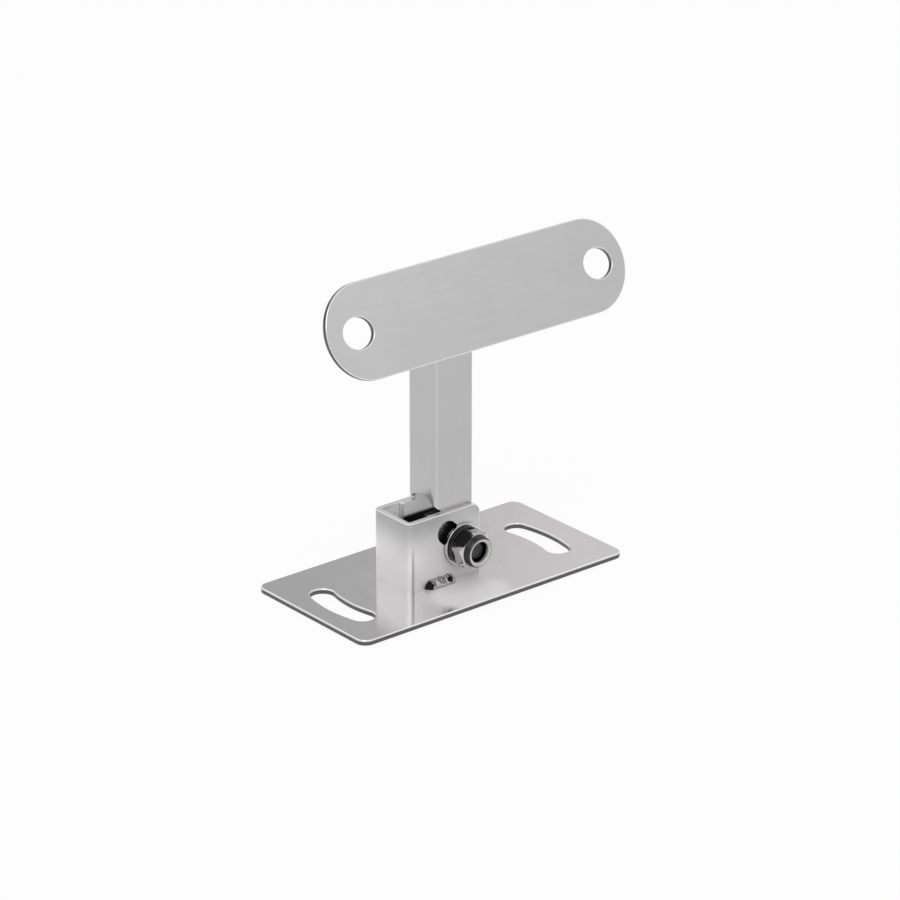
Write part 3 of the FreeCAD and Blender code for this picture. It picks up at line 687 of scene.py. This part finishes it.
def bead(node, body, turn, length, leg, lumps, seed):
    """A fillet weld in the corner between +Y and +Z faces, along X, with ripples and tapered ends. The seed
    shifts its ripples and its noise."""
    bm = bmesh.new()
    along, across = 90, 14
    rows = []
    for i in range(along + 1):
        u = i / along
        x = length * u
        end = min(u, 1 - u) * length / leg
        taper = math.sqrt(max(1 - max(1 - end, 0) ** 2, 0.0))
        ripple = 0.86 + 0.10 * abs(math.sin(math.pi * lumps * u + seed))
        row = []
        for j in range(across + 1):
            a = math.radians(90 * j / across)
            c, s = math.cos(a), math.sin(a)
            wobble = noise.noise(Vector((x * 0.9 + seed * 7, c * 1.5, s * 1.5)))
            fine = noise.noise(Vector((x * 2.6, c * 4 + seed, s * 4)))
            r = leg * max(taper, 0.02) * min(ripple + 0.10 * wobble + 0.04 * fine, 1.0)
            hollow = 1 - 0.12 * math.sin(2 * a)
            row.append(bm.verts.new((x, r * hollow * c, r * hollow * s)))
        row.append(bm.verts.new((x, 0, 0)))
        rows.append(row)
    skin(bm, rows)
    piece(node + "_bead", bm, body, node, (WELD,), turn)


def frame_turn(place, x, y, z):
    """Places a mesh so that its own axes lie along x, y and z."""
    return Matrix.Translation(Vector(place)) @ Matrix((x, y, z)).transposed().to_4x4()


def welds():
    X, Y, Z = Vector((1, 0, 0)), Vector((0, 1, 0)), Vector((0, 0, 1))
    left_end = -16
    for node, y, out, seed in (("holder_weld_front", HOLDER.front, -Y, 0.3),
                               ("holder_weld_back", HOLDER.back, Y, 1.1)):
        bead(node, "wall_bracket", frame_turn((left_end, y, SHEET), X, out, Z), 13.4, leg=3.0, lumps=3, seed=seed)
    up = Vector((0, math.sin(LEAN), math.cos(LEAN)))
    behind = Vector((0, math.cos(LEAN), -math.sin(LEAN)))
    foot = Vector((0, ARM.front, MITRE_HEIGHT))
    bead("plate_weld_web", "arm", frame_turn(foot + up * 3.8 + X * ARM.left, up, behind, -X),
         26.8, leg=2.2, lumps=12, seed=0.7)
    bead("plate_weld_flange", "arm", frame_turn(foot + up * 0.2 + X * ARM.right, up, behind, X),
         4.5, leg=1.8, lumps=2, seed=0.2)


wall_plate()
holder()
arm()
speaker_plate()
lock_nut()
lock_nut_insert()
spring_washer()
washer("washer_front", NUT_SEAT + WASHER_THICK)
washer("washer_back", HEAD_SEAT - WASHER_THICK)
bolt()
welds()


# Studio, in metres: the floor's own tone, the share of plain white in what the camera and the metal see of it,
# and the level of the world's light on matt surfaces

FLOOR_TONE = 0.8
FLOOR_SHARE = 0.9
WORLD_LEVEL = 0.9


def stage_floor():
    """A pale floor that takes shadows. The camera and the metal see it nearly white."""
    half_size, drop = 4.0, 0.0001
    bm = bmesh.new()
    bmesh.ops.create_grid(bm, x_segments=1, y_segments=1, size=half_size)
    mesh = bpy.data.meshes.new("floor")
    bm.to_mesh(mesh)
    bm.free()
    floor = bpy.data.objects.new("floor", mesh)
    floor.location.z = -drop
    bpy.context.scene.collection.objects.link(floor)
    material = bpy.data.materials.new("floor")
    n = Nodes(material)
    n.tree.nodes.remove(n.shader)
    plain = n.add("BsdfDiffuse", Color=FLOOR_TONE).outputs[0]
    white = n.add("Emission", Color=1.0, Strength=1.0).outputs[0]
    rays = n.rays("Camera", "Transmission", "Glossy")
    share = n.add("Math", rays, FLOOR_SHARE, operation="MULTIPLY").outputs[0]
    n.put(n.tree.nodes["Material Output"].inputs[0], n.add("MixShader", share, plain, white).outputs[0])
    mesh.materials.append(material)


def lamp(name, place, target, size, power):
    data = bpy.data.lights.new(name, "AREA")
    data.shape = "RECTANGLE"
    data.size, data.size_y = size
    data.energy = power
    obj = bpy.data.objects.new(name, data)
    obj.location = place
    obj.rotation_euler = (Vector(target) - Vector(place)).to_track_quat("-Z", "Y").to_euler()
    bpy.context.scene.collection.objects.link(obj)


def make_world():
    """Plain light for matt surfaces. Metal shows a pale studio: grey low down, white above, and a card
    behind the object that goes from grey to pale from left to right."""
    world = bpy.data.worlds.new("world")
    bpy.context.scene.world = world
    n = Nodes(world, "Generated")
    plain = n.tree.nodes["Background"]
    n.put(plain.inputs["Color"], 1.0)
    n.put(plain.inputs["Strength"], WORLD_LEVEL)
    white = n.add("Background", Color=1.0, Strength=1.0)
    height = n.add("SeparateXYZ", Vector=n.place).outputs["Z"]
    sky = n.ramp(height, (0.0, 0.6), (0.32, 0.62), (0.385, 0.88), (1.0, 1.0))
    card_middle, card_right = (0.587, 0.711, 0.387), (0.771, -0.637, 0.0)
    behind = n.along(card_middle, 0.90, 0.96)
    side = n.along(card_right, -0.03, 0.03)
    card = n.ramp(side, (0.0, 0.40), (1.0, (0.63, 0.62, 0.63)))
    seen = n.add("Background", Color=n.mix(behind, sky, card), Strength=1.0)
    shiny = n.add("MixShader", n.rays("Glossy"), plain.outputs[0], seen.outputs[0])
    blend = n.add("MixShader", n.rays("Camera", "Transmission"), shiny.outputs[0], white.outputs[0])
    n.put(n.tree.nodes["World Output"].inputs[0], blend.outputs[0])


def make_camera():
    """The photograph's camera, in the frame's axes: its turn and rise in degrees, and the distance and shift
    from the middle of the wall plate's top in millimetres. focal is in pixels of the photograph."""
    turn, rise, distance, shift, lift = 39.55, 22.77, 1418, 2.783, 42.238
    sensor, focal, picture = 36.0, 3968, 900
    data = bpy.data.cameras.new("camera")
    data.sensor_fit = "HORIZONTAL"
    data.sensor_width = sensor
    data.lens = sensor * focal / picture
    data.clip_start = 0.05
    data.clip_end = 20
    cam = bpy.data.objects.new("camera", data)
    bpy.context.scene.collection.objects.link(cam)
    a, e = math.radians(turn), math.radians(rise)
    back = Vector((-math.sin(a) * math.cos(e), -math.cos(a) * math.cos(e), math.sin(e)))
    right = Vector((math.cos(a), -math.sin(a), 0))
    up = back.cross(right)
    place = (back * distance + right * shift + up * lift + Vector((0, 0, SHEET))) * MM
    cam.matrix_world = Matrix.Translation(place) @ Matrix((right, up, back)).transposed().to_4x4()
    bpy.context.scene.camera = cam


stage_floor()
make_world()
lamp("key", place=(-0.9, -0.6, 1.3), target=(0, 0, 0.05), size=(0.9, 0.9), power=4)
make_camera()
bpy.context.scene.view_settings.view_transform = "Standard"
